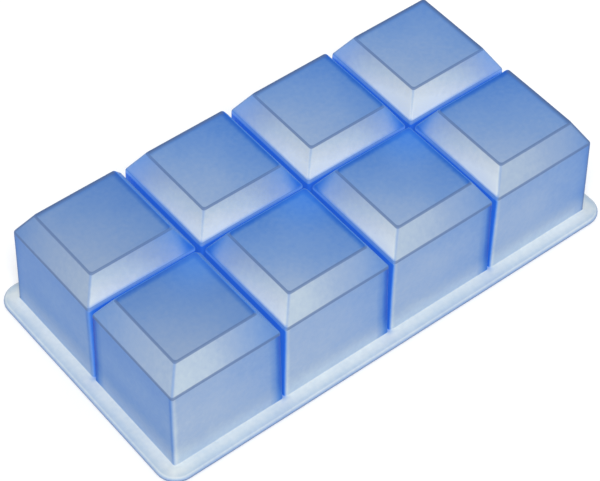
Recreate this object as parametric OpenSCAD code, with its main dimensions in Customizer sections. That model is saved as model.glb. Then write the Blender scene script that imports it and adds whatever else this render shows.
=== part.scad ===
// Silicone mould for square soap bars: a grid of cubic cups with bevelled floors,
// joined at the mouths by one flat flange. It lies mouth down, with the floors of the
// cups on top. The origin is the middle of the flange's underside, +X runs along the
// length and +Z points up, from the mouths to the floors. All sizes are outer sizes of
// the moulding unless the comment says otherwise.

/* [Cavity grid] */
// Number of cups along the length
columns = 4; // [2:1:6]
// Number of cups across the width
rows = 2; // [2:1:3]
// Distance between the middles of neighbouring cups
pitch = 52; // [52:0.5:60]

/* [Cup] */
// Width of a cup where it stands on the flange
mouth_w = 51.2; // [46:0.2:51.4]
// Width of a cup where its wall ends and its shoulder starts
shoulder_w = 49.8; // [44:0.2:50.8]
// Width of the flat floor face
floor_w = 37.3; // [24:0.1:40]
// Height of the wall, above the flange
wall_h = 39.3; // [20:0.1:60]
// Height of the sloping shoulder, above the wall
shoulder_h = 10.6; // [4:0.1:16]
// Radius of a cup's upright outer edges
cup_edge_r = 1; // [0.5:0.1:5]

/* [Thickness] */
// Thickness of the walls and shoulders
skin_t = 1.8; // [1.2:0.1:2.4]
// Thickness of the floor panels
floor_t = 2; // [1.2:0.1:3]

/* [Flange] */
// Thickness of the flange, whose outer edge is fully rounded
flange_t = 2.5; // [1.5:0.1:4]
// How far the flange reaches beyond the outer cups
flange_lip = 6.8; // [3:0.1:15]
// Radius of the flange's corners, seen from above
flange_corner_r = 8.8; // [5:0.1:14]

/* [Floor panels] */
// Flat strip of the shoulder that is left around each floor panel
floor_land = 0.8; // [0.5:0.1:2]
// Gap between a floor panel and its shoulder, which lets the panel travel
floor_gap = 0.3; // [0.2:0.05:0.5]

/* [Hidden] */
$fn = 64;
corner_steps = 8;                    // straight pieces in each rounded corner of a cup
cut = 1;                             // how far a cutting shape reaches past a face
cup_count = columns * rows;
edge_r = flange_t / 2;
wall_top = flange_t + wall_h;
cup_top = wall_top + shoulder_h;
floor_under = cup_top - floor_t;
inner_edge_r = max(cup_edge_r - skin_t / 2, 0.5);
mouth_inner_w = mouth_w - 2 * skin_t;
shoulder_inner_w = shoulder_w - 2 * skin_t;
floor_opening_w = floor_w - 2 * floor_land;
floor_panel_w = floor_opening_w - 2 * floor_gap;
opening_x = (columns - 1) * pitch + mouth_inner_w;
opening_y = (rows - 1) * pitch + mouth_inner_w;
web_w = pitch - mouth_inner_w;
flange_x = (columns - 1) * pitch + mouth_w + 2 * flange_lip;
flange_y = (rows - 1) * pitch + mouth_w + 2 * flange_lip;

flange_colour = "#c6d9ec";
web_colour = "#1f55cf";
wall_colour = "#8fb0dc";
shoulder_colour = "#b7cbe6";
floor_colour = "#7fa0d2";

// Middle of cup i. Cup 1 is at the -X, -Y corner and the count runs along +X first.
function cup_x(i) = ((i - 1) % columns - (columns - 1) / 2) * pitch;
function cup_y(i) = (floor((i - 1) / columns) - (rows - 1) / 2) * pitch;

// Straight-line value at height z between two known widths
function width_at(z, z_low, w_low, z_high, w_high) =
    w_low + (w_high - w_low) * (z - z_low) / (z_high - z_low);

// Outline of a rounded square at height z, anticlockwise
function square_ring(width, r, z) = [
    for (quarter = [0 : 3], step = [0 : corner_steps])
        let (
            turn = 90 * (quarter + step / corner_steps),
            mid = 45 + 90 * quarter,
            reach = sqrt(2) * (width / 2 - r)
        )
        [reach * cos(mid) + r * cos(turn), reach * sin(mid) + r * sin(turn), z]
];

// Solid through rounded squares, each given as [width, height above the origin]
module loft(sections, r) {
    ring_n = 4 * (corner_steps + 1);
    last = (len(sections) - 1) * ring_n;
    polyhedron(
        points = [for (s = sections) each square_ring(s[0], r, s[1])],
        faces = concat(
            [[for (k = [0 : ring_n - 1]) k]],
            [[for (k = [0 : ring_n - 1]) last + ring_n - 1 - k]],
            [
                for (j = [0 : len(sections) - 2], k = [0 : ring_n - 1])
                    let (low = j * ring_n, next = (k + 1) % ring_n)
                    [low + k, low + ring_n + k, low + ring_n + next, low + next]
            ]
        )
    );
}

module rounded_rectangle(x, y, r) {
    square([x - 2 * r, y], center = true);
    square([x, y - 2 * r], center = true);
    for (side_x = [-1, 1], side_y = [-1, 1])
        translate([side_x * (x / 2 - r), side_y * (y / 2 - r)])
            circle(r = r);
}

module at_cup(i) {
    translate([cup_x(i), cup_y(i), 0]) children();
}

// Cross-section of the flange plate: flat, with a half-round edge at both ends
module flange_section(width) {
    translate([edge_r - width / 2, 0])
        square([width - 2 * edge_r, flange_t]);
    for (side = [-1, 1])
        translate([side * (width / 2 - edge_r), edge_r])
            circle(r = edge_r);
}

// The same edge carried round one corner of the flange
module flange_corner() {
    rotate_extrude(angle = 90) {
        square([flange_corner_r - edge_r, flange_t]);
        intersection() {
            translate([flange_corner_r - edge_r, edge_r])
                circle(r = edge_r);
            square([flange_corner_r, flange_t]);
        }
    }
}

module flange_plate() {
    straight_x = flange_x - 2 * flange_corner_r;
    straight_y = flange_y - 2 * flange_corner_r;
    rotate([90, 0, 0])
        linear_extrude(straight_y, center = true)
            flange_section(flange_x);
    rotate([90, 0, 90])
        linear_extrude(straight_x, center = true)
            flange_section(flange_y);
    for (quarter = [0 : 3])
        translate([
            (quarter == 0 || quarter == 3 ? 1 : -1) * straight_x / 2,
            (quarter < 2 ? 1 : -1) * straight_y / 2,
            0
        ])
            rotate([0, 0, 90 * quarter])
                flange_corner();
}

// Frame of the flange, outside the mouths
module rim_flange() {
    color(flange_colour)
        difference() {
            flange_plate();
            translate([0, 0, -cut])
                linear_extrude(flange_t + 2 * cut)
                    rounded_rectangle(opening_x, opening_y, inner_edge_r);
        }
}

// Strips of the flange between the mouths, at the bottom of the grooves
module web_grid() {
    color(web_colour)
        linear_extrude(flange_t)
            intersection() {
                rounded_rectangle(opening_x, opening_y, inner_edge_r);
                union() {
                    for (j = [1 : rows - 1])
                        translate([0, (j - rows / 2) * pitch])
                            square([opening_x, web_w], center = true);
                    for (i = [1 : columns - 1])
                        translate([(i - columns / 2) * pitch, 0])
                            square([web_w, opening_y], center = true);
                }
            }
}

// The four upright walls of cup i, which lean in a little as they rise
module cup_wall(i) {
    low = flange_t - cut;
    high = wall_top + cut;
    color(wall_colour)
        at_cup(i)
            difference() {
                loft([[mouth_w, flange_t], [shoulder_w, wall_top]], cup_edge_r);
                loft(
                    [
                        for (z = [low, high])
                            [width_at(z, flange_t, mouth_inner_w, wall_top, shoulder_inner_w), z]
                    ],
                    inner_edge_r
                );
            }
}

// The four sloping bands between the walls and the floor of cup i
module cup_shoulder(i) {
    low = wall_top - cut;
    color(shoulder_colour)
        at_cup(i)
            difference() {
                loft([[shoulder_w, wall_top], [floor_w, cup_top]], cup_edge_r);
                loft(
                    [
                        [width_at(low, wall_top, shoulder_inner_w, floor_under, floor_opening_w), low],
                        [floor_opening_w, floor_under],
                        [floor_opening_w, cup_top + cut]
                    ],
                    inner_edge_r
                );
            }
}

// The flat floor panel of cup i, which a thumb presses in to push the soap out
module cup_floor(i) {
    color(floor_colour)
        at_cup(i)
            translate([0, 0, floor_under])
                linear_extrude(floor_t)
                    rounded_rectangle(floor_panel_w, floor_panel_w, inner_edge_r);
}

rim_flange();
web_grid();
for (i = [1 : cup_count]) {
    cup_wall(i);
    cup_shoulder(i);
    cup_floor(i);
}
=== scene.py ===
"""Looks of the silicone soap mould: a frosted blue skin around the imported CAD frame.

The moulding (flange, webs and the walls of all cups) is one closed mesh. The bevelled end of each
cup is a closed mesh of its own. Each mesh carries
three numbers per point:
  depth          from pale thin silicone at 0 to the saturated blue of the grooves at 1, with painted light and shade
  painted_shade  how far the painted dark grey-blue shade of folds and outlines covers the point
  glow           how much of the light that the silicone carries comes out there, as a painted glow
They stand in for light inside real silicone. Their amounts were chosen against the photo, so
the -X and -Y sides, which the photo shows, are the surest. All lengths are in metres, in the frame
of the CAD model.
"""
import math

import bmesh
import bpy
from mathutils import Matrix, Vector, noise


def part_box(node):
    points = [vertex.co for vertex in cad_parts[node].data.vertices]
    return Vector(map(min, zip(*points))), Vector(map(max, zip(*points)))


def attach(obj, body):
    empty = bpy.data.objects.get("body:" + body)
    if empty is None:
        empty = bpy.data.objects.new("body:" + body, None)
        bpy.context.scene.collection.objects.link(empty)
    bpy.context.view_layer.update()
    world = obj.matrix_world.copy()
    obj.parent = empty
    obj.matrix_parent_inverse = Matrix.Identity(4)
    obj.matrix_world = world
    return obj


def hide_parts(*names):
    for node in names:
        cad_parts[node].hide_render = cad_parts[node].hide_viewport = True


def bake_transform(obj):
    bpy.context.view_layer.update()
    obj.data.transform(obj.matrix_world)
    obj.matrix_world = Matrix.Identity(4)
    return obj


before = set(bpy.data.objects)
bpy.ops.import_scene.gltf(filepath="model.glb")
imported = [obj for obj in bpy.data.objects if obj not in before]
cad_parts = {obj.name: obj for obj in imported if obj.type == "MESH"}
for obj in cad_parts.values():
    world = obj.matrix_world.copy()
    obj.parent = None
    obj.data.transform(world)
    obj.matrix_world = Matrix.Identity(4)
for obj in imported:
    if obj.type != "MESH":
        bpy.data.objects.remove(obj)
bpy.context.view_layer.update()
noise.seed_set(1)                       # Blender seeds it from the clock otherwise

MM = 0.001

# ---------------------------------------------------------------- sizes, read from the CAD frame
FLANGE_LOW, FLANGE_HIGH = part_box("rim_flange")
WEB_LOW, WEB_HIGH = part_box("web_grid")
WALL_LOW, WALL_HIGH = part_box("cup_wall_1")
SHOULDER_LOW, SHOULDER_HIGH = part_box("cup_shoulder_1")
PANEL_LOW, PANEL_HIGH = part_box("cup_floor_1")
CUP_COUNT = sum(node.startswith("cup_wall_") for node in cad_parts)


def centre(node):
    low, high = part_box(node)
    return (low + high) / 2


CENTRES = [centre(f"cup_wall_{index}") for index in range(1, CUP_COUNT + 1)]
PITCH = CENTRES[1].x - CENTRES[0].x
FIRST_X, LAST_X = min(c.x for c in CENTRES), max(c.x for c in CENTRES)
FIRST_Y, LAST_Y = min(c.y for c in CENTRES), max(c.y for c in CENTRES)
MOUTH_HALF = (WALL_HIGH.x - WALL_LOW.x) / 2
SHOULDER_HALF = (SHOULDER_HIGH.x - SHOULDER_LOW.x) / 2
PANEL_HALF = (PANEL_HIGH.x - PANEL_LOW.x) / 2
PANEL_RIM = 1.1 * MM                    # land and gap between the panel and the edge of the floor face
FLOOR_HALF = PANEL_HALF + PANEL_RIM
FLANGE_TOP = FLANGE_HIGH.z
WALL_TOP = WALL_HIGH.z
CUP_TOP = SHOULDER_HIGH.z
FLOOR_UNDER = PANEL_LOW.z
MOUTH_INNER_HALF = WEB_HIGH.x - LAST_X
SKIN = MOUTH_HALF - MOUTH_INNER_HALF
RIM_R = FLANGE_TOP / 2                  # the flange's outer edge is fully rounded
FLANGE_CORNER_R = 8.8 * MM              # seen from above, as in the CAD model

# ---------------------------------------------------------------- mesh detail
ARC_STEPS = 8                           # pieces in each rounded corner seen from above
SIDE_STEPS = 16                         # pieces in the middle stretch of each straight side
FILLET_STEPS = 6                        # pieces in each rounded edge of the profile
RIM_STEPS = 10                          # pieces round the half-round edge of the flange
SUPPORT = 0.3 * MM                      # flat strip that holds the shading of a rounded edge
SUPPORTS = (0.3 * MM, 0.8 * MM, 1.5 * MM, 2.4 * MM)  # points near each end of a straight line
LONGEST = 3.5 * MM                      # longest piece of a cup's profile
CUP_EDGE_R = 1.0 * MM
FLOOR_CORNER_R = 1.2 * MM
BASE_BEVEL = 0.2 * MM                   # tiny slope where a wall meets the flange
SHOULDER_EDGE_R = 2.0 * MM
FLOOR_EDGE_R = 0.8 * MM
INNER_MOUTH_R = 0.4 * MM
INNER_SHOULDER_R = 1.0 * MM
INNER_FLOOR_R = 0.8 * MM
SMALLEST_R = 0.4 * MM
SEAM_Z = WALL_TOP - 1.2 * MM            # where a cup's end meets the moulding
FLOOR_SHARES = (0.98, 0.955, 0.92, 0.86, 0.74, 0.62, 0.48, 0.32, 0.16)
WEB_SHARES = (0.3, 0.6, 0.85)
SAME_PLACE = 1e-7                       # points closer than this are merged
SAME_HEIGHT = 1e-6
WOBBLE = 0.16 * MM                      # how far the soft moulding strays from true
WOBBLE_WAVE = 38 * MM
SAG = 0.3 * MM                          # dish in the middle of each floor
CORNER_SIGNS = ((1, 1), (-1, 1), (-1, -1), (1, -1))
FLANGE, WALL, SHOULDER, FLOOR = range(4)    # levels of the outside; a rounded edge lies between two

# ---------------------------------------------------------------- colours, in linear light
DEPTH_COLOURS = (                       # what the silicone looks like at each depth: its blue with painted light and shade
    (0.00, (0.730, 0.790, 0.800)),
    (0.07, (0.630, 0.695, 0.735)),
    (0.15, (0.500, 0.600, 0.690)),
    (0.30, (0.320, 0.430, 0.620)),
    (0.50, (0.168, 0.305, 0.600)),
    (0.65, (0.087, 0.225, 0.580)),
    (0.80, (0.025, 0.140, 0.550)),
    (1.00, (0.004, 0.070, 0.500)),
)
# dark grey-blue of the painted shade along folds and outlines
PAINTED_SHADE_COLOUR = (0.085, 0.150, 0.320)
PAINTED_SHADE_COVER = 0.75                     # how much of the blue a painted shade of 1 hides
GLOW_COLOUR = (0.014, 0.075, 0.240)     # light that the silicone carries down into the grooves
LARGE_CLOUDS, SMALL_CLOUDS = 22 * MM, 2 * MM
SHEEN_GRAIN, BUMP_GRAIN = 1.5 * MM, 0.35 * MM
BUMP_HEIGHT = 0.02 * MM

# ---------------------------------------------------------------- light and camera
DOME = 0.44
KEY = 2.2
KEY_SOFTNESS = 30                       # degrees that the key light spans
KEY_AZIMUTH = -35
KEY_ELEVATION = 58
STAGE_SIZE = 3                          # metres
CAMERA_AZIMUTH = -39.22                 # degrees, from the -Y side towards the -X side
CAMERA_ELEVATION = 49.26
CAMERA_ROLL = 0.96
CAMERA_DISTANCE = 895.1 * MM
LENS = 133.86                           # millimetres
SENSOR = 36                             # millimetres
AIM_RIGHT, AIM_UP = -2.56 * MM, 4.53 * MM   # where the camera aims, from the middle of the flange


# ---------------------------------------------------------------- blending
def mix(a, b, share):
    return a + (b - a) * share


def smooth(value, start, end):
    """0 up to start, 1 from end on, and a soft step between them."""
    share = min(max((value - start) / (end - start), 0), 1)
    return share * share * (3 - 2 * share)


def bell(value, middle, half_width):
    """1 at the middle, falling softly to 0 at half_width from it."""
    return smooth(abs(value - middle), half_width, 0)


# ---------------------------------------------------------------- outlines seen from above
def shares_between(length, pieces):
    """Places of the points of a straight line, as shares of its length. They crowd near both ends."""
    supports = [reach / length for reach in SUPPORTS]
    low, high = supports[-1], 1 - supports[-1]
    middle = [mix(low, high, k / pieces) for k in range(1, pieces)]
    return supports + middle + [1 - share for share in reversed(supports)]


def outline(low, high, radii, rounded=(True,) * 4):
    """Points round a rectangle, anticlockwise from the upper end of its +X side.

    A square corner has as many points as a rounded one, so outlines of both kinds can be joined.
    """
    corners = []
    for quarter, (sx, sy) in enumerate(CORNER_SIGNS):
        radius = radii[quarter]
        mid = Vector(((high if sx > 0 else low).x - sx * radius, (high if sy > 0 else low).y - sy * radius))
        points = []
        for step in range(ARC_STEPS + 1):
            turn = math.radians(90 * (quarter + step / ARC_STEPS))
            way = Vector((math.cos(turn), math.sin(turn)))
            reach = 1 if rounded[quarter] else 1 / max(abs(way.x), abs(way.y))
            points.append(mid + way * radius * reach)
        corners.append(points)
    loop = []
    for quarter in range(4):
        start, end = corners[quarter][-1], corners[(quarter + 1) % 4][0]
        loop += corners[quarter]
        loop += [start.lerp(end, share) for share in shares_between((end - start).length, SIDE_STEPS)]
    return loop


def cup_outline(cup, half, radius):
    reach = Vector((half, half))
    return outline(cup.xy - reach, cup.xy + reach, (radius,) * 4)


# ---------------------------------------------------------------- profiles of a cup
def filleted(corners, edges, level):
    """A profile of (half width, height) corners, with each inner corner rounded.

    edges gives each inner corner's radius and how dark the painted shade along it is. Each point comes back
    as (half width, height, level, painted_shade), and its level grows by 1 from each stretch to the next.
    """
    out = [(*corners[0], level, 0)]
    for k, (radius, darkness) in enumerate(edges, start=1):
        here = Vector(corners[k])
        back = (Vector(corners[k - 1]) - here).normalized()
        on = (Vector(corners[k + 1]) - here).normalized()
        half_angle = back.angle(on) / 2
        reach = radius / math.tan(half_angle)
        mid = here + (back + on).normalized() * (radius / math.sin(half_angle))
        first, last = here + back * reach, here + on * reach
        start = first - mid
        sweep = math.copysign(math.pi - 2 * half_angle, start.cross(last - mid))
        out.append((*(first + back * SUPPORT), level, 0))
        for step in range(FILLET_STEPS + 1):
            share = step / FILLET_STEPS
            way = Matrix.Rotation(sweep * share, 2) @ start
            out.append((*(mid + way), level + share, darkness))
        level += 1
        out.append((*(last + on * SUPPORT), level, 0))
    out.append((*corners[-1], level, 0))
    return out


def divided(profile):
    """The same profile with its long stretches cut up, more finely near both ends."""
    out = [profile[0]]
    for a, b in zip(profile, profile[1:]):
        length = math.hypot(b[0] - a[0], b[1] - a[1])
        shares = shares_between(length, math.ceil(length / LONGEST)) if length > 2 * SUPPORTS[-1] else []
        out += [tuple(mix(p, q, share) for p, q in zip(a, b)) for share in shares + [1]]
    return out


def split(profile, z):
    """The profile below and above height z, both with a point at z."""
    for k, (a, b) in enumerate(zip(profile, profile[1:])):
        if a[1] <= z < b[1]:
            share = (z - a[1]) / (b[1] - a[1])
            cut = tuple(p + (q - p) * share for p, q in zip(a, b))
            return profile[:k + 1] + [cut], [cut] + profile[k + 1:]
    raise ValueError("the seam is outside the profile")


def outer_profile():
    """Flange, wall, shoulder and floor of a cup, on the outside."""
    foot = (MOUTH_HALF + BASE_BEVEL, FLANGE_TOP, FLANGE, 0)
    corners = [(MOUTH_HALF, FLANGE_TOP + BASE_BEVEL), (SHOULDER_HALF, WALL_TOP),
               (FLOOR_HALF, CUP_TOP), (FLOOR_HALF - 2 * MM, CUP_TOP)]
    return [foot] + divided(filleted(corners, [(SHOULDER_EDGE_R, 1), (FLOOR_EDGE_R, 1)], WALL))


def inner_profile():
    """The same surfaces on the inside, a skin's thickness away."""
    corners = [(MOUTH_INNER_HALF + INNER_MOUTH_R + SUPPORT, 0), (MOUTH_INNER_HALF, 0),
               (SHOULDER_HALF - SKIN, WALL_TOP), (PANEL_HALF + 0.3 * MM, FLOOR_UNDER),
               (FLOOR_HALF - 4 * MM, FLOOR_UNDER)]
    edges = [(INNER_MOUTH_R, 0), (INNER_SHOULDER_R, 0.5), (INNER_FLOOR_R, 0.5)]
    return divided(filleted(corners, edges, FLANGE))


OUTER_LOW, OUTER_HIGH = split(outer_profile(), SEAM_Z)
INNER_LOW, INNER_HIGH = split(inner_profile(), SEAM_Z)


def corner_radius(z, inset=0):
    """Radius of a cup's corners seen from above. It changes from the top of the wall to the floor."""
    share = min(max((z - WALL_TOP) / (CUP_TOP - WALL_TOP), 0), 1)
    return max(CUP_EDGE_R + (FLOOR_CORNER_R - CUP_EDGE_R) * share - inset, SMALLEST_R)


# ---------------------------------------------------------------- where a point lies in the grid
def has_neighbour(cup, way):
    """Whether another cup stands beside this one, in direction way (a unit step in X or in Y)."""
    beside = cup.xy + Vector(way) * PITCH
    return FIRST_X - MM < beside.x < LAST_X + MM and FIRST_Y - MM < beside.y < LAST_Y + MM


def ends_at_groove(cup, way):
    """Whether the +X or +Y end of the side that faces way lies beside a groove."""
    return has_neighbour(cup, (abs(way[1]), abs(way[0])))


def column_share(cup):
    """0 for the first column of cups and 1 for the last."""
    return (cup.x - FIRST_X) / (LAST_X - FIRST_X)


def row_share(cup):
    return (cup.y - FIRST_Y) / (LAST_Y - FIRST_Y)


def offsets(cup, p):
    """How far a point lies from the middle of its cup in X and in Y, each with that direction."""
    return (p.x - cup.x, (1, 0)), (p.y - cup.y, (0, 1))


def inside_grid(p):
    """How far a point lies inside the outline of the whole grid of cups; negative outside it."""
    return min(LAST_X + MOUTH_HALF - abs(p.x), LAST_Y + MOUTH_HALF - abs(p.y))


def off_groove(cup, p):
    """How far a point lies from the middle line of the nearest groove beside its cup."""
    gaps = [math.inf]
    for offset, way in offsets(cup, p):
        side = math.copysign(1, offset)
        if has_neighbour(cup, (way[0] * side, way[1] * side)):
            gaps.append(PITCH / 2 - abs(offset))
    return min(gaps)


def groove_mouth(cup, p):
    """1 on the flange inside a groove, fading out softly where the groove opens."""
    return smooth(off_groove(cup, p), 2.4 * MM, 0.2 * MM) * smooth(inside_grid(p), -1.8 * MM, 1.5 * MM)


def past_near_edge(cup, p):
    """Place across a cup's -X, -Y upright edge: above 0 on the -X side, below 0 on the -Y side."""
    if p.x > cup.x or p.y > cup.y:
        return math.inf
    return (p.y - cup.y) - (p.x - cup.x)


def by_side(cup, p, value_on_side):
    """Blends the values of the two sides that a point is nearest to, round an upright corner.

    value_on_side takes the way that a side faces, and the place along it from -1 to 1.
    """
    local_x, local_y = p.x - cup.x, p.y - cup.y
    share = smooth(abs(local_x) - abs(local_y), -1.2 * MM, 1.2 * MM)
    on_x = value_on_side((math.copysign(1, local_x), 0), local_y / SHOULDER_HALF)
    on_y = value_on_side((0, math.copysign(1, local_y)), local_x / SHOULDER_HALF)
    return mix(on_y, on_x, share)


# ---------------------------------------------------------------- depth: how deep the blue is, with painted light and shade
def flange_depth(cup, p):
    """Painted light and shade: pale on the lip, saturated in the grooves, with a soft change where a groove
    opens.
    """
    lip = mix(0.07, 0.19, smooth(-inside_grid(p), 2.5 * MM, 6.0 * MM))
    return mix(lip, 1, max(0.4 * groove_mouth(cup, p), smooth(inside_grid(p), 0.5 * MM, 5 * MM)))


def open_wall_depth(cup, way, along, rise):
    """An outer wall, with painted light and shade: paler towards the flange and its -X or -Y end, deeper
    towards its +X or +Y end.
    """
    share = max((along + 1) / 2, 0) ** 2
    if way[0]:
        foot, middle = mix(0.27, 0.34, share), mix(0.48, 0.56, share)
    else:
        foot, middle = mix(0.17, 0.25, share), mix(0.29, 0.48, share) + 0.06 * column_share(cup)
    end = (0.50 if ends_at_groove(cup, way) else 0.12) * smooth(along, 0.80, 1.02)
    return mix(foot, middle, smooth(rise, 0, 0.32)) + 0.06 * smooth(rise, 0.5, 1) + end


def groove_wall_depth(p):
    """A wall that faces a neighbour, with painted light and shade: saturated, with a painted lighter band
    under the shoulder.
    """
    below = smooth(WALL_TOP - p.z, 0.5 * MM, 1.5 * MM)
    mouth = smooth(inside_grid(p), 0, 6 * MM)
    return mix(0.42, 1, below * mix(0.6, 1, mouth))


def wall_depth(cup, p):
    rise = (p.z - FLANGE_TOP) / (WALL_TOP - FLANGE_TOP)

    def on_side(way, along):
        if has_neighbour(cup, way):
            return groove_wall_depth(p)
        return open_wall_depth(cup, way, along, rise)

    # painted shade in a line on the -X side of the cup's -X, -Y upright edge, and a painted highlight on its
    # -Y side
    painted_edge_shade = 0.16 * bell(past_near_edge(cup, p), 1.2 * MM, 1.3 * MM)
    painted_edge_highlight = 0.09 * bell(past_near_edge(cup, p), -1.0 * MM, 1.5 * MM)
    return by_side(cup, p, on_side) + painted_edge_shade - painted_edge_highlight


def groove_shoulder_depth(cup, way, along, rise):
    """A near shoulder above a groove, with painted light and shade: pale, and deeper at its lower edge and
    near a crossing.
    """
    far = ((along + 1) / 2) ** 2
    depth = mix(0.08, 0.60, far) - 0.10 * column_share(cup) + 0.22 * (rise - 0.5)
    crossing = 0.45 * smooth(along, 0.66, 1) if ends_at_groove(cup, way) else 0
    return mix(depth, 0.58 if way[0] else 0.42, smooth(rise, 0.16, 0.0)) + crossing


def shoulder_depth(cup, p):
    """Painted light and shade: pale at the -X, -Y corner and deeper along both ways from it."""
    rise = (p.z - WALL_TOP) / (CUP_TOP - WALL_TOP)

    def on_side(way, along):
        if sum(way) > 0:
            return 0.55 if has_neighbour(cup, way) else 0.45
        if has_neighbour(cup, way):
            return groove_shoulder_depth(cup, way, along, rise)
        far = ((along + 1) / 2) ** 2
        if way[0]:
            return mix(0.24, 0.56, far)
        return mix(0.14, 0.64 - 0.16 * column_share(cup), far) + 0.06 * column_share(cup)

    # painted shade along the ridge of the -X, -Y corner
    return by_side(cup, p, on_side) + 0.18 * bell(past_near_edge(cup, p), 0, 1.3 * MM)


def floor_depth(cup, p):
    """Painted light and shade: deeper towards +X and +Y, most of all beside a groove."""
    pale = 0.66 + 0.05 * greyness(cup)
    for offset, way in offsets(cup, p):
        place = offset / FLOOR_HALF
        most, edge = (0.41, 0.34) if has_neighbour(cup, way) else (0.25, 0.2)
        pale *= 1 - most * max((place + 1) / 2, 0) ** 1.3 - edge * smooth(place, 0.84, 0.96)
    return 1 - pale


def inner_depth(_cup, p):
    """The inside of a cup: paler towards its mouth."""
    return mix(0.28, 0.6, smooth(p.z, 0, 30 * MM))


def underside_depth(_cup, p):
    return mix(0.12, 0.5, smooth(inside_grid(p), -0.5 * MM, 3 * MM))


OUTSIDE = (flange_depth, wall_depth, shoulder_depth, floor_depth)
INSIDE = (underside_depth, inner_depth, inner_depth, inner_depth)


def depth_at(zones, level, cup, p):
    """Depth at a point whose level lies on one stretch of the profile or between two."""
    lower = min(int(level), len(zones) - 1)
    upper = min(lower + 1, len(zones) - 1)
    return mix(zones[lower](cup, p), zones[upper](cup, p), level - lower)


# ---------------------------------------------------------------- painted_shade: the painted dark grey-blue shade
def crease_share(cup, p, level):
    """How dark the painted shade along a folded edge is on each side. Open far sides have the darkest."""
    def on_side(way, along):
        if not has_neighbour(cup, way):
            return 1.3 if sum(way) > 0 else 1
        if sum(way) > 0:
            return 0
        return 1 if level >= SHOULDER else 0.5 * smooth(along, 0.9, 0.4)

    return by_side(cup, p, on_side)


def corner_line(cup, p):
    """A painted dark line of shade down the upright edges where an open -X or -Y side meets an open far side.
    """
    local_x, local_y = p.x - cup.x, p.y - cup.y
    ways = (math.copysign(1, local_x), 0), (0, math.copysign(1, local_y))
    if local_x * local_y > 0 or any(has_neighbour(cup, way) for way in ways):
        return 0
    return 1.2 * bell(abs(local_x) - abs(local_y), 0, 2.2 * MM)


def open_shade(cup, p):
    """The greyer look of the shoulders on the outside of the grid."""
    def on_side(way, _along):
        if has_neighbour(cup, way):
            return 0
        if way[0]:
            return mix(0.14, 0.36, row_share(cup))
        return mix(0.12, 0.28, column_share(cup))

    return by_side(cup, p, on_side)


def back_line(cup, p):
    """A painted dark line of shade just inside the +X and +Y edges of a floor that have no neighbour."""
    gaps = [math.inf]
    for offset, way in offsets(cup, p):
        if not has_neighbour(cup, way):
            gaps.append(FLOOR_HALF - offset)
    return 1.2 * smooth(min(gaps), 2.3 * MM, 0.7 * MM)


def greyness(cup):
    """Painted shade: the floors of the first column look a little greyer than the others."""
    return smooth(cup.x, FIRST_X + PITCH, FIRST_X)


def outside_shade(cup, p, level, painted_shade):
    """How far the dark grey-blue of folds and outlines covers a point of the outside."""
    shade = painted_shade * crease_share(cup, p, level) if painted_shade else 0
    if FLANGE < level < FLOOR:
        shade = max(shade, corner_line(cup, p))
    if SHOULDER <= level < FLOOR:
        shade = max(shade, open_shade(cup, p))
    if level >= FLOOR:
        shade = max(shade, back_line(cup, p), 0.22 * greyness(cup))
    return shade


# ---------------------------------------------------------------- glow: light that comes out
def groove_glow(cup, p):
    """Most on the sides of a groove, and a little at the foot of an outer wall."""
    def on_side(way, along):
        if has_neighbour(cup, way):
            low = smooth(p.z, WALL_TOP + 2.2 * MM, WALL_TOP - 0.5 * MM)
            return max(low, 0.7 if sum(way) > 0 else mix(0.06, 0.5, smooth(along, 0.2, 1)))
        return 0.35 * smooth(p.z, FLANGE_TOP + 8 * MM, FLANGE_TOP)

    return by_side(cup, p, on_side)


def floor_glow(cup, p):
    """Light that shows at the +X, +Y corner of a floor that has a groove on both of those sides."""
    if not (has_neighbour(cup, (1, 0)) and has_neighbour(cup, (0, 1))):
        return 0
    return 0.7 * smooth((p.x - cup.x) / FLOOR_HALF, -0.3, 1) * smooth((p.y - cup.y) / FLOOR_HALF, -0.3, 1)


def outside_glow(cup, p, level):
    if level == FLANGE:
        return 0.7 * groove_mouth(cup, p)
    return floor_glow(cup, p) if level >= FLOOR else groove_glow(cup, p)


# ---------------------------------------------------------------- meshes
def soft(p):
    """The place of a point after the small sag and wobble of a soft moulding."""
    cup = min(CENTRES, key=lambda c: max(abs(p.x - c.x), abs(p.y - c.y)))
    across, up = (p.x - cup.x) / FLOOR_HALF, (p.y - cup.y) / FLOOR_HALF
    dish = max(1 - across * across, 0) * max(1 - up * up, 0) * smooth(p.z, WALL_TOP, FLOOR_UNDER)
    sway = noise.noise_vector(p / WOBBLE_WAVE) * WOBBLE
    return Vector((p.x + sway.x, p.y + sway.y, p.z - SAG * dish))


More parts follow.
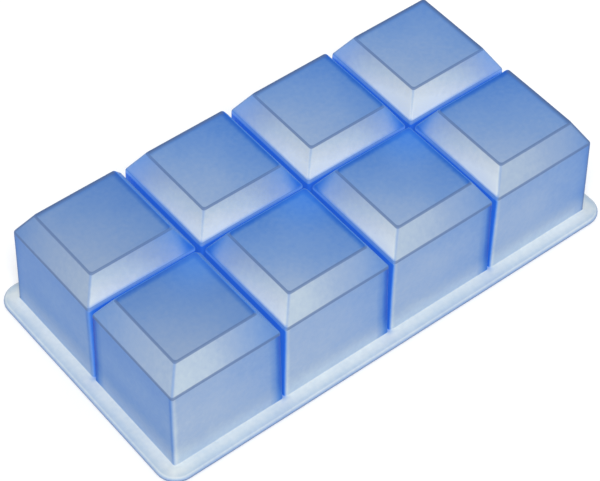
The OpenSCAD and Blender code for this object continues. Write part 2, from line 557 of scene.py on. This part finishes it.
class Skin:
    """Collects rings of points with their depth, painted shade and glow, and joins them into one mesh."""

    def __init__(self):
        self.bm = bmesh.new()
        self.depth = self.bm.verts.layers.float.new("depth")
        self.painted_shade = self.bm.verts.layers.float.new("painted_shade")
        self.glow = self.bm.verts.layers.float.new("glow")

    def point(self, p, depth, painted_shade=0, glow=0):
        vert = self.bm.verts.new(p)
        vert[self.depth] = depth
        vert[self.painted_shade] = painted_shade
        vert[self.glow] = glow
        return vert

    def toned(self, cup, p, zones, level, painted_shade=0):
        """A point with the depth, painted shade and glow of its place on the cup."""
        depth = depth_at(zones, level, cup, p)
        if zones is INSIDE:
            return self.point(p, depth, painted_shade)
        return self.point(p, depth, outside_shade(cup, p, level, painted_shade), outside_glow(cup, p, level))

    def ring(self, cup, points, z, zones, level, painted_shade=0):
        return [self.toned(cup, Vector((flat.x, flat.y, z)), zones, level, painted_shade) for flat in points]

    def profile_rings(self, cup, profile, zones, inset):
        rings = []
        for half, z, level, painted_shade in profile:
            radius = corner_radius(z, inset) + max(half - MOUTH_HALF, 0)
            rings.append(self.ring(cup, cup_outline(cup, half, radius), z, zones, level, painted_shade))
        return rings

    def join(self, a, b):
        for k in range(len(a)):
            following = (k + 1) % len(a)
            self.bm.faces.new((a[k], a[following], b[following], b[k]))

    def loft(self, rings):
        for a, b in zip(rings, rings[1:]):
            self.join(a, b)

    def cap(self, cup, loop, zones):
        """Fills a ring at floor level with ever smaller copies of itself."""
        middle = Vector((cup.x, cup.y, loop[0].co.z))
        outer = [v.co.copy() for v in loop]
        for share in FLOOR_SHARES:
            smaller = [self.toned(cup, middle.lerp(p, share), zones, FLOOR) for p in outer]
            self.join(loop, smaller)
            loop = smaller
        tip = self.toned(cup, middle, zones, FLOOR)
        for k in range(len(loop)):
            self.bm.faces.new((loop[k], loop[(k + 1) % len(loop)], tip))

    def merge(self):
        bmesh.ops.remove_doubles(self.bm, verts=self.bm.verts, dist=SAME_PLACE)

    def finish(self, name):
        """Makes the object. The edges of the seam stay sharp, so no shade runs over them."""
        self.merge()
        bmesh.ops.recalc_face_normals(self.bm, faces=self.bm.faces)
        for face in self.bm.faces:
            face.smooth = True
        for edge in self.bm.edges:
            edge.smooth = not all(abs(v.co.z - SEAM_Z) < SAME_HEIGHT for v in edge.verts)
        for vert in self.bm.verts:
            vert.co = soft(vert.co)
        mesh = bpy.data.meshes.new(name)
        self.bm.to_mesh(mesh)
        self.bm.free()
        obj = bpy.data.objects.new(name, mesh)
        bpy.context.scene.collection.objects.link(obj)
        return obj


def cell_outline(cup):
    """A cup's share of the flange: half way to its neighbours, and out to the rounded rim."""
    reach = Vector((PITCH / 2, PITCH / 2))
    low, high = cup.xy - reach, cup.xy + reach
    west, east = not has_neighbour(cup, (-1, 0)), not has_neighbour(cup, (1, 0))
    south, north = not has_neighbour(cup, (0, -1)), not has_neighbour(cup, (0, 1))
    low.x = FLANGE_LOW.x + RIM_R if west else low.x
    high.x = FLANGE_HIGH.x - RIM_R if east else high.x
    low.y = FLANGE_LOW.y + RIM_R if south else low.y
    high.y = FLANGE_HIGH.y - RIM_R if north else high.y
    rounded = (east and north, west and north, west and south, east and south)
    radii = [FLANGE_CORNER_R - RIM_R if is_round else CUP_EDGE_R for is_round in rounded]
    return outline(low, high, radii, rounded)


def outward(p):
    """The way out of the flange at a point of its edge, seen from above."""
    straight_x, straight_y = FLANGE_HIGH.x - FLANGE_CORNER_R, FLANGE_HIGH.y - FLANGE_CORNER_R
    core = Vector((min(max(p.x, -straight_x), straight_x), min(max(p.y, -straight_y), straight_y)))
    return (p.xy - core).normalized()


def flat_key(vert):
    return round(vert.co.x, 6), round(vert.co.y, 6)


def open_edges(bm, height):
    """The edges at this height that have a face on one side only."""
    return [e for e in bm.edges if e.is_boundary and all(abs(v.co.z - height) < SAME_HEIGHT for v in e.verts)]


def add_rim(skin):
    """Carries the flange's top and underside round its half-round edge."""
    top_edges = open_edges(skin.bm, FLANGE_TOP)
    lowest = {flat_key(v): v for e in open_edges(skin.bm, 0) for v in e.verts}
    current = {v: v for e in top_edges for v in e.verts}
    for step in range(1, RIM_STEPS + 1):
        turn = math.pi * step / RIM_STEPS
        following = {}
        for top in current:
            if step == RIM_STEPS:
                following[top] = lowest[flat_key(top)]
                continue
            flat = top.co.xy + outward(top.co) * RIM_R * math.sin(turn)
            place = Vector((flat.x, flat.y, RIM_R * (1 + math.cos(turn))))
            # painted shade: the rim grows bluer and darker grey-blue as it turns under
            depth = mix(0.10, 0.42, smooth(turn, 0.2, 1.5))
            following[top] = skin.point(place, depth, 1.3 * smooth(turn, 1.2, 1.9))
        for e in top_edges:
            a, b = e.verts
            skin.bm.faces.new((current[a], current[b], following[b], following[a]))
        current = following


def moulding():
    """Flange, webs and walls, inside and out, closed by the rim and by the seams of the cups."""
    skin = Skin()
    for cup in CENTRES:
        cell = cell_outline(cup)
        outer = skin.profile_rings(cup, OUTER_LOW, OUTSIDE, 0)
        inner = skin.profile_rings(cup, INNER_LOW, INSIDE, SKIN / 2)
        above = [skin.ring(cup, cell, FLANGE_TOP, OUTSIDE, FLANGE)]
        below = [skin.ring(cup, cell, 0, INSIDE, FLANGE)]
        for share in WEB_SHARES:
            part = [p.lerp(v.co.xy, share) for p, v in zip(cell, outer[0])]
            above.append(skin.ring(cup, part, FLANGE_TOP, OUTSIDE, FLANGE))
        skin.loft(above + outer + inner[::-1] + below)
    skin.merge()
    add_rim(skin)
    return skin.finish("moulding_skin")


def cup_end(index, cup):
    """Shoulder and floor of one cup as a closed shell, with the top of the wall."""
    skin = Skin()
    outer = skin.profile_rings(cup, OUTER_HIGH, OUTSIDE, 0)
    inner = skin.profile_rings(cup, INNER_HIGH, INSIDE, SKIN / 2)
    skin.loft(outer[::-1] + inner)
    skin.cap(cup, outer[-1], OUTSIDE)
    skin.cap(cup, inner[-1], INSIDE)
    return skin.finish(f"cup_end_{index}")


# ---------------------------------------------------------------- material
class Nodes:
    """Short names for the few kinds of shader node that the silicone needs."""

    def __init__(self, tree):
        self.nodes, self.links = tree.nodes, tree.links
        self.place = self.nodes.new("ShaderNodeTexCoord").outputs["Object"]

    def attribute(self, label):
        node = self.nodes.new("ShaderNodeAttribute")
        node.attribute_name = label
        return node.outputs["Fac"]

    def clouds(self, size, detail):
        """Noise from 0 to 1 whose patches are about this size."""
        node = self.nodes.new("ShaderNodeTexNoise")
        node.inputs["Scale"].default_value = 1 / size
        node.inputs["Detail"].default_value = detail
        self.links.new(self.place, node.inputs["Vector"])
        return node.outputs["Fac"]

    def spread(self, source, low, high):
        node = self.nodes.new("ShaderNodeMapRange")
        node.inputs["To Min"].default_value = low
        node.inputs["To Max"].default_value = high
        self.links.new(source, node.inputs["Value"])
        return node.outputs["Result"]

    def add(self, a, b):
        node = self.nodes.new("ShaderNodeMath")
        node.operation = "ADD"
        self.links.new(a, node.inputs[0])
        self.links.new(b, node.inputs[1])
        return node.outputs["Value"]

    def times(self, source, factor):
        node = self.nodes.new("ShaderNodeMath")
        node.operation = "MULTIPLY"
        self.links.new(source, node.inputs[0])
        node.inputs[1].default_value = factor
        return node.outputs["Value"]

    def ramp(self, stops, source):
        node = self.nodes.new("ShaderNodeValToRGB")
        elements = node.color_ramp.elements
        while len(elements) < len(stops):
            elements.new(0.5)
        for element, (position, colour) in zip(elements, stops):
            element.position = position
            element.color = (*colour, 1)
        self.links.new(source, node.inputs["Fac"])
        return node.outputs["Color"]

    def cover(self, under, colour, share):
        """A constant colour that hides a share of what lies under it."""
        node = self.nodes.new("ShaderNodeMix")
        node.data_type = "RGBA"
        node.inputs["B"].default_value = (*colour, 1)
        self.links.new(under, node.inputs["A"])
        self.links.new(share, node.inputs["Factor"])
        return node.outputs["Result"]

    def bump(self, height, strength, distance):
        node = self.nodes.new("ShaderNodeBump")
        node.inputs["Strength"].default_value = strength
        node.inputs["Distance"].default_value = distance
        self.links.new(height, node.inputs["Height"])
        return node.outputs["Normal"]


def silicone(name):
    """Frosted translucent silicone. Its blue, with painted light and shade, follows the depth that the mesh
    carries; the painted shade covers it and the painted glow is given off as emission.
    """
    mat = bpy.data.materials.new(name)
    mat.use_nodes = True
    shader = mat.node_tree.nodes["Principled BSDF"]
    make = Nodes(mat.node_tree)
    cloudy = make.add(make.spread(make.clouds(LARGE_CLOUDS, 2), -0.06, 0.06),
                      make.spread(make.clouds(SMALL_CLOUDS, 3), -0.05, 0.05))
    # the blue with painted light and shade, then the painted shade of folds and outlines over it, and the
    # painted glow
    tint_with_painted_light = make.ramp(DEPTH_COLOURS, make.add(make.attribute("depth"), cloudy))
    creased = make.cover(tint_with_painted_light, PAINTED_SHADE_COLOUR, make.times(make.attribute("painted_shade"), PAINTED_SHADE_COVER))
    make.links.new(creased, shader.inputs["Base Color"])
    make.links.new(make.attribute("glow"), shader.inputs["Emission Strength"])
    make.links.new(make.spread(make.clouds(SHEEN_GRAIN, 3), 0.48, 0.6), shader.inputs["Roughness"])
    make.links.new(make.bump(make.clouds(BUMP_GRAIN, 3), 0.35, BUMP_HEIGHT), shader.inputs["Normal"])
    shader.inputs["Emission Color"].default_value = (*GLOW_COLOUR, 1)
    shader.inputs["Specular IOR Level"].default_value = 0.2
    return mat


# ---------------------------------------------------------------- the pieces
def add_moulding(material):
    piece = moulding()
    piece.data.materials.append(material)
    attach(piece, "moulding")
    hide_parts("rim_flange", "web_grid", *(f"cup_wall_{k}" for k in range(1, CUP_COUNT + 1)))


def add_cup_end(index, cup, material):
    piece = cup_end(index, cup)
    piece.data.materials.append(material)
    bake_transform(piece)
    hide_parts(f"cup_shoulder_{index}", f"cup_floor_{index}")


# ---------------------------------------------------------------- stage, light and camera
def add_stage():
    bm = bmesh.new()
    bmesh.ops.create_grid(bm, x_segments=1, y_segments=1, size=STAGE_SIZE)
    mesh = bpy.data.meshes.new("floor")
    bm.to_mesh(mesh)
    bm.free()
    obj = bpy.data.objects.new("floor", mesh)
    bpy.context.scene.collection.objects.link(obj)
    mat = bpy.data.materials.new("floor")
    mat.use_nodes = True
    shader = mat.node_tree.nodes["Principled BSDF"]
    shader.inputs["Base Color"].default_value = (0.93, 0.93, 0.93, 1)
    shader.inputs["Roughness"].default_value = 0.9
    shader.inputs["Emission Color"].default_value = (1, 1, 1, 1)
    shader.inputs["Emission Strength"].default_value = 0.12
    mesh.materials.append(mat)


def add_light():
    """An even white dome and one soft key light, a little above the camera."""
    world = bpy.data.worlds.new("studio")
    world.use_nodes = True
    background = world.node_tree.nodes["Background"]
    background.inputs["Color"].default_value = (1, 1, 1, 1)
    background.inputs["Strength"].default_value = DOME
    bpy.context.scene.world = world
    data = bpy.data.lights.new("key", "SUN")
    data.energy = KEY
    data.angle = math.radians(KEY_SOFTNESS)
    light = bpy.data.objects.new("key", data)
    light.rotation_euler = (math.radians(90 - KEY_ELEVATION), 0, math.radians(KEY_AZIMUTH))
    bpy.context.scene.collection.objects.link(light)


def add_camera():
    a, e, r = (math.radians(v) for v in (CAMERA_AZIMUTH, CAMERA_ELEVATION, CAMERA_ROLL))
    back = Vector((math.sin(a) * math.cos(e), -math.cos(a) * math.cos(e), math.sin(e)))
    flat_right = Vector((math.cos(a), math.sin(a), 0))
    flat_up = back.cross(flat_right)
    right = flat_right * math.cos(r) + flat_up * math.sin(r)
    up = flat_up * math.cos(r) - flat_right * math.sin(r)
    data = bpy.data.cameras.new("camera")
    data.lens = LENS
    data.sensor_width = SENSOR
    obj = bpy.data.objects.new("camera", data)
    place = Vector((0, 0, FLANGE_TOP)) + right * AIM_RIGHT + up * AIM_UP + back * CAMERA_DISTANCE
    obj.matrix_world = Matrix.Translation(place) @ Matrix((right, up, back)).transposed().to_4x4()
    bpy.context.scene.collection.objects.link(obj)
    bpy.context.scene.camera = obj


silicone_skin = silicone("silicone_skin")
add_moulding(silicone_skin)
for cup_index, cup_centre in enumerate(CENTRES, start=1):
    add_cup_end(cup_index, cup_centre, silicone_skin)
add_stage()
add_light()
add_camera()
bpy.context.scene.view_settings.view_transform = "Standard"
